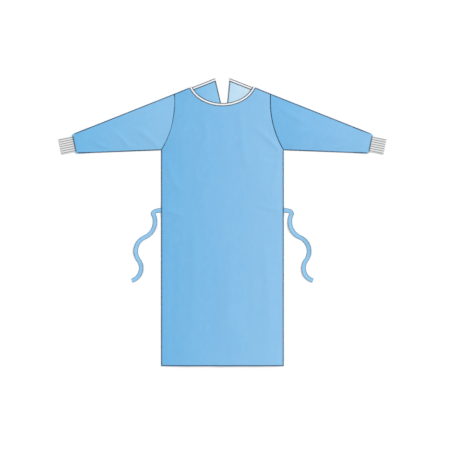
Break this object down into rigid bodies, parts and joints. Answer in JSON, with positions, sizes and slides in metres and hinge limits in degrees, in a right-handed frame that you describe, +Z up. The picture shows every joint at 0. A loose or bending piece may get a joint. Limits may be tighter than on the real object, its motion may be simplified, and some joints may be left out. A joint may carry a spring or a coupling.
{
  "type": "surgical gown",
  "caption": "Long-sleeved surgical gown laid flat on its back: open down the back, with rib knit cuffs, a bound scoop neck and a tape tie at each side.",
  "frame": {"origin": "on the surface that the gown lies on, under the middle of its outline", "axes": "+X across the gown from sleeve to sleeve, +Y from the hem to the neck, +Z up, out of the front"},
  "size_m": [1.5268, 1.3436, 0.0079],
  "materials": {
    "gown_cloth": "sheet cloth",
    "neck_tape": "folded tape",
    "cuff_knit": "rib knit",
    "tie_tape": "flat tape"
  },
  "bodies": {
    "root": {"front_panel": "gown_cloth", "back_panel_left": "gown_cloth", "back_panel_right": "gown_cloth", "sleeve_left": "gown_cloth", "sleeve_right": "gown_cloth", "cuff_left": "cuff_knit", "cuff_right": "cuff_knit", "neck_binding_front": "neck_tape", "neck_binding_back_left": "neck_tape", "neck_binding_back_right": "neck_tape", "tie_left": "tie_tape", "tie_right": "tie_tape"}
  },
  "joints": []
}
